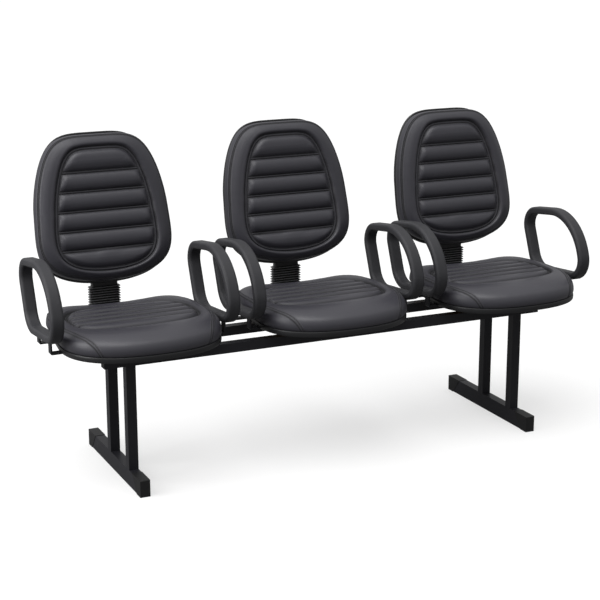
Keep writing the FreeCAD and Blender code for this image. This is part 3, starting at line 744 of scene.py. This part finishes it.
# One side seam: along the shoulder, then down over the front corner to the edging
side_seam = [
    (0.215, 0.118, 0.050), (0.2275, 0.050, 0.0505), (0.2285, -0.030, 0.0505), (0.226, -0.110, 0.0505),
    (0.210, -0.178, 0.049), (0.193, -0.218, 0.045), (0.177, -0.249, 0.033), (0.165, -0.264, 0.014),
    (0.160, -0.268, 0.001),
]


def sewn_pad(name, parts, place, node, body):
    """Pad object from its cover and the strips sewn on it, which takes the imported cushion's place."""
    points = []
    faces = []
    off = []
    for part_points, part_faces, part_off in parts:
        start = sum(len(p) for p in points)
        points.append(part_points)
        faces += [tuple(start + v for v in face) for face in part_faces]
        off.append(part_off)
    pad = piece_from(name, np.vstack(points), faces, upholstery, place)
    mark(pad, np.concatenate(off))
    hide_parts(node)
    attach(pad, body)


def ease(value, start, end):
    """Smooth step from 0 at the start to 1 at the end."""
    t = np.clip((value - start) / (end - start), 0, 1)
    return t * t * (3 - 2 * t)


def shape_seat(points):
    """The foam bulges over the edging beside the sitter's hips and dips at the middle of the rear."""
    x, y, z = points.T
    wide = 1 + 0.055 * ease(y, -0.13, 0.03) * ease(z, 0.0, 0.022)
    dip = 0.010 * ease(y, 0.035, 0.135) * ease(-np.abs(x), -0.175, -0.03) * z / 0.055
    return np.column_stack([x * wide, y, z - dip])


# The seat's seam distances are scaled by this factor, which makes its dark thread line and the painted
# shade beside each seam wider than the back's
seat_shade = 0.4
swell_cap = 0.007
levels, seam_off = wall_rows(seat_wall)
points, faces, thread_off, held = sewn_cover(
    seat_panel, seat_seams, levels, seam_off, seat_row, seat_crown, valley=0.0115, rise=0.0115,
    band=0.0032, row_band=0.0014, fullness=3.2, folds=ripples(11, 0.0004))
swollen = swell(shape_seat(points), faces, held, swell_cap)
strips = [seam_strip([(side * x, y, z) for x, y, z in side_seam], swollen, faces) for side in (-1, 1)]
for seat in seats:
    sewn_pad(seat + "_seat_pad", [(swollen, faces, thread_off * seat_shade)] + strips,
             seat_place(seat), seat + "_seat_cushion", "root")


# Loop arms: self-skinned polyurethane foam moulded over a steel strip, one closed loop each,
# with a fine leather grain and a dull sheen that is lighter where it faces up.
def moulded_skin():
    material, start, place = new_material("moulded skin", Specular_IOR_Level=0.28)
    pebble = start.cells(place, 0.0014, "SMOOTH_F1")
    cloud = start.noise(place, 0.07, 3.0)
    rub = start.noise(place, 0.03, 5.0, 0.6).ramp([(0.55, 0.0), (0.75, 1.0)])
    colour = (cloud * 0.6 + rub * 0.3).blend(grey(0.026, 0.003), grey(0.042, 0.005))
    roughness = 0.50 + cloud * 0.10 - rub * 0.06
    normal = start.bump(pebble, 0.3, 0.0003)
    wire(material, colour, roughness, normal)
    return material


arm_skin = moulded_skin()
for seat in seats:
    for side in ("left", "right"):
        dress(seat + "_" + side + "_arm", arm_skin)


# Back blades: flat steel bar bent up behind each seat, coated like the beams. The guide slides
# on its leaning upper leg.
for seat in seats:
    dress(seat + "_back_blade", frame_coat, 0.0008, 2)
    dress(seat + "_back_guide", frame_coat, 0.0006, 2)


# Ribbed sleeves: soft black PVC bellows over the blade, gripping it below and hiding the gap below the
# back.
def soft_rubber():
    material, start, place = new_material("soft rubber", Specular_IOR_Level=0.5)
    cloud = start.noise(place, 0.03, 4.0)
    dust = start.noise(place, 0.006, 5.0, 0.7).ramp([(0.5, 0.0), (0.8, 1.0)])
    crest = start.node("ShaderNodeAttribute", {"attribute_name": "crest"}, None, "Fac")
    colour = (cloud * 0.4 + dust * 0.35).blend(grey(0.010), grey(0.024))
    # Painted highlight: the fold crests are painted far lighter, standing in for the light each ridge
    # catches.
    colour = (crest * (0.6 + cloud * 0.3)).blend(colour, grey(0.24, 0.01))
    roughness = 0.32 + cloud * 0.12 + dust * 0.1
    normal = start.bump(start.noise(place, 0.0012), 0.2, 0.0002)
    wire(material, colour, roughness, normal)
    return material


def sleeve_ring(width, depth, corner, z):
    """One ring of a rounded rectangle, as points."""
    ring = []
    for sx, sy, start in ((1, 1, 0), (-1, 1, 90), (-1, -1, 180), (1, -1, 270)):
        centre = ((width / 2 - corner) * sx, (depth / 2 - corner) * sy)
        for k in range(7):
            a = math.radians(start + 15 * k)
            ring.append((centre[0] + corner * math.cos(a), centre[1] + corner * math.sin(a), z))
    return ring


rubber = soft_rubber()
sleeve_folds = 9
sleeve_bottom_collar = 0.009
sleeve_top_collar = 0.023
sleeve_fold = 0.0050
sleeve_wall = 0.0015
sleeve_corner = 0.006
# Width and depth of the collars, of the mouth that grips the blade below, and of the throat above
sleeve_collar = (0.084, 0.024)
sleeve_mouth = (0.069, 0.0072)
sleeve_throat = (0.072, 0.0105)
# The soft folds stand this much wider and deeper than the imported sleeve
fold_spare = (0.005, 0.001)
fold_steps = 10
for seat in seats:
    low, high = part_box(seat + "_blade_sleeve")
    width = high.x - low.x + fold_spare[0]
    depth = high.y - low.y + fold_spare[1]
    pitch = (high.z - low.z - sleeve_bottom_collar - sleeve_top_collar) / sleeve_folds
    folds_low = low.z + sleeve_bottom_collar
    folds_high = high.z - sleeve_top_collar
    painted_crest_highlights = []
    rings = [sleeve_ring(*sleeve_mouth, 0.001, low.z)]
    rings.append(sleeve_ring(sleeve_collar[0] - 0.001, sleeve_collar[1] - 0.001, sleeve_corner, low.z))
    for z in (low.z + 0.0006, low.z + 0.004, folds_low - 0.0004):
        rings.append(sleeve_ring(*sleeve_collar, sleeve_corner, z))
    for k in range(sleeve_folds):
        for step in range(fold_steps):
            t = step / fold_steps
            out = 0.5 - 0.5 * math.cos(2 * math.pi * t)
            draw = 2 * sleeve_fold * (1 - out ** 0.8)
            # Weight of the painted highlight on this ring, strongest at the crest of the fold.
            painted_crest_highlights += [0.0] * (len(rings) - len(painted_crest_highlights)) + [out ** 4]
            z = folds_low + (k + t) * pitch
            rings.append(sleeve_ring(width - draw, depth - draw, sleeve_corner, z))
    for z in (folds_high + 0.0004, folds_high + 0.002, high.z - 0.002, high.z - 0.0006):
        rings.append(sleeve_ring(*sleeve_collar, sleeve_corner, z))
    rings.append(sleeve_ring(sleeve_collar[0] - 0.0012, sleeve_collar[1] - 0.0012, 0.0055, high.z))
    inside = (sleeve_collar[0] - 2 * sleeve_wall, sleeve_collar[1] - 2 * sleeve_wall)
    rings.append(sleeve_ring(*inside, 0.0045, high.z))
    rings.append(sleeve_ring(*inside, 0.0045, folds_high + sleeve_wall))
    rings.append(sleeve_ring(*sleeve_throat, 0.002, folds_high + sleeve_wall))
    count = len(rings[0])
    points = [p for ring in rings for p in ring]
    faces = [(r * count + k, r * count + (k + 1) % count, (r + 1) * count + (k + 1) % count,
              (r + 1) * count + k) for r in range(len(rings) - 1) for k in range(count)]
    middle = Matrix.Translation(((low.x + high.x) / 2, (low.y + high.y) / 2, 0))
    sleeve = piece_from(seat + "_bellows", points, faces, rubber, middle)
    painted_crest_highlights += [0.0] * (len(rings) - len(painted_crest_highlights))
    mark(sleeve, np.repeat(painted_crest_highlights, count), "crest")
    smooth(sleeve, 60)
    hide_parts(seat + "_blade_sleeve")
    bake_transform(sleeve)


# Back pads: moulded foam on the back's board under a sewn cover. Six padded rows lie between
# five double-stitched seams, a welt runs round them, and a boxing strip forms the side wall.
back_panel = dict(half_width=0.147, half_length=0.183, middle=0.0047, narrowing=0.13,
                  powers=(1.9, 5.5, 4.1, 2.8))
back_shape = dict(half_width=0.2125, half_length=0.2275, middle=0.009, narrowing=0.07,
                  powers=(1.85, 4.9, 4.5, 2.1))
# Each row: distance in front of the board, and how far the outline is drawn in
back_wall = [
    (0.0, 0.006),
    (0.008, 0.001),
    (0.018, 0.0),
    (0.028, 0.0015),
    (0.0355, 0.006),
    (0.0405, 0.0125),
]
back_crown = 0.0555
back_pitch = 0.060
back_seams = [(k - 2) * back_pitch for k in range(5)]
# How far up the wall, measured along its section, the wall's double seam runs
back_wall_seam = 0.0375


def back_row(level, angle):
    return egg(angle, **back_shape, inset=level[1])


levels, seam_off = wall_rows(back_wall, back_wall_seam)
points, faces, thread_off, held = sewn_cover(
    back_panel, back_seams, levels, seam_off, back_row, back_crown, valley=0.0125, rise=0.0120,
    band=0.0043, row_band=0.0034, fullness=2.0, folds=ripples(31, 0.0005))
swollen = swell(points, faces, held, swell_cap)
onto_board = Matrix.Translation((0, 0, board_face))
for seat in seats:
    sewn_pad(seat + "_back_pad", [(swollen, faces, thread_off)], back_place(seat) @ onto_board,
             seat + "_back_cushion", seat + "_back")


# Back covers and clamp knobs: injection-moulded in the same black polypropylene as the caps.
# The cover hides the board, and the knob behind it clamps the back at its height.
for seat in seats:
    dress(seat + "_back_cover", black_plastic)
    dress(seat + "_height_knob", black_plastic, 0.0012, 2)


# Studio: pale floor and backdrop in one plane, one wide soft light overhead and a soft lamp to
# the left, and the camera where the photograph was taken from.
def backdrop_rays(start, reflected):
    """1 where the camera or a clear surface looks, and this much where a reflection does."""
    path = start.node("ShaderNodeLightPath")
    camera, glossy, clear = [Value(start.tree, path.socket.node.outputs[name])
                             for name in ("Is Camera Ray", "Is Glossy Ray", "Is Transmission Ray")]
    return camera.math("MAXIMUM", camera.math("MAXIMUM", camera, glossy * reflected), clear)


def floor_finish():
    """White paper to look at, which throws little light back on the underside of the bench."""
    material = bpy.data.materials.new("studio floor")
    material.use_nodes = True
    tree = material.node_tree
    tree.nodes.clear()
    start = Value(tree)
    grain = start.noise(start.node("ShaderNodeTexCoord", None, None, "Object"), 0.4, 3.0)
    tone = grain.blend((0.93, 0.93, 0.93, 1.0), (0.95, 0.95, 0.95, 1.0))
    paper = start.node("ShaderNodeBsdfDiffuse", None, {"Color": tone})
    white = start.node("ShaderNodeEmission", None, {"Color": (1.0, 1.0, 1.0, 1.0), "Strength": 1.0})
    dim = start.node("ShaderNodeBsdfDiffuse", None, {"Color": (0.12, 0.12, 0.12, 1.0)})
    seen = start.node("ShaderNodeMixShader", None, {0: 0.60, 1: paper, 2: white})
    mixed = start.node("ShaderNodeMixShader", None, {0: backdrop_rays(start, 0.15), 1: dim, 2: seen})
    out = tree.nodes.new("ShaderNodeOutputMaterial")
    tree.links.new(mixed.socket, out.inputs["Surface"])
    return material


floor_reach = 60.0
floor = piece_from("studio_floor", [(-floor_reach, -floor_reach, 0), (floor_reach, -floor_reach, 0),
                                    (floor_reach, floor_reach, 0), (-floor_reach, floor_reach, 0)],
                   [(0, 1, 2, 3)], floor_finish())

world = bpy.data.worlds.new("studio")
bpy.context.scene.world = world
world.use_nodes = True
start = Value(world.node_tree)
sky = world.node_tree.nodes["Background"]
direction = start.node("ShaderNodeTexCoord", None, None, "Generated")
height = start.node("ShaderNodeSeparateXYZ", None, {"Vector": direction}, "Z")
canopy = 0.08 + start.math("MAXIMUM", height, 0.0) * 0.86
seen = backdrop_rays(start, 0.40)
world.node_tree.links.new((canopy * (1 - seen) + seen).socket, sky.inputs["Strength"])
sky.inputs["Color"].default_value = (1.0, 1.0, 1.0, 1.0)


def lamp(name, place, aim, size, power):
    """Rectangular soft lamp aimed at a point."""
    data = bpy.data.lights.new(name, "AREA")
    data.shape = "RECTANGLE"
    data.size = size[0]
    data.size_y = size[1]
    data.energy = power
    made = bpy.data.objects.new(name, data)
    bpy.context.scene.collection.objects.link(made)
    made.location = place
    made.rotation_euler = (Vector(aim) - Vector(place)).to_track_quat("-Z", "Y").to_euler()


# The wide soft light far overhead lights the whole floor evenly, and the lamp gives the sheen
def soft_sun(name, direction, spread, strength):
    data = bpy.data.lights.new(name, "SUN")
    data.angle = math.radians(spread)
    data.energy = strength
    made = bpy.data.objects.new(name, data)
    bpy.context.scene.collection.objects.link(made)
    made.rotation_euler = Vector(direction).to_track_quat("-Z", "Y").to_euler()


soft_sun("overhead_light", (0.28, 0.18, -1.0), 50, 2.0)
lamp("left_lamp", (-3.8, 0.0, 1.9), (0, 0, 0.75), (2.2, 2.2), 90)

view_azimuth = math.radians(-24.873)
view_pitch = math.radians(-14.895)
view_roll = math.radians(-0.07)
caps_low, caps_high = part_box("foot_caps")
runner_middle = (caps_low.y + caps_high.y) / 2
data = bpy.data.cameras.new("camera")
data.sensor_width = 36.0
data.lens = 91.48
camera = bpy.data.objects.new("camera", data)
bpy.context.scene.collection.objects.link(camera)
camera.location = (-2.0173, runner_middle - 4.2440, 1.7143)
ahead = math.cos(view_pitch)
look = Vector((-math.sin(view_azimuth) * ahead, math.cos(view_azimuth) * ahead, math.sin(view_pitch)))
turn = look.to_track_quat("-Z", "Y").to_matrix() @ Matrix.Rotation(view_roll, 3, "Z")
camera.rotation_euler = turn.to_euler()
bpy.context.scene.camera = camera
bpy.context.scene.view_settings.view_transform = "Standard"
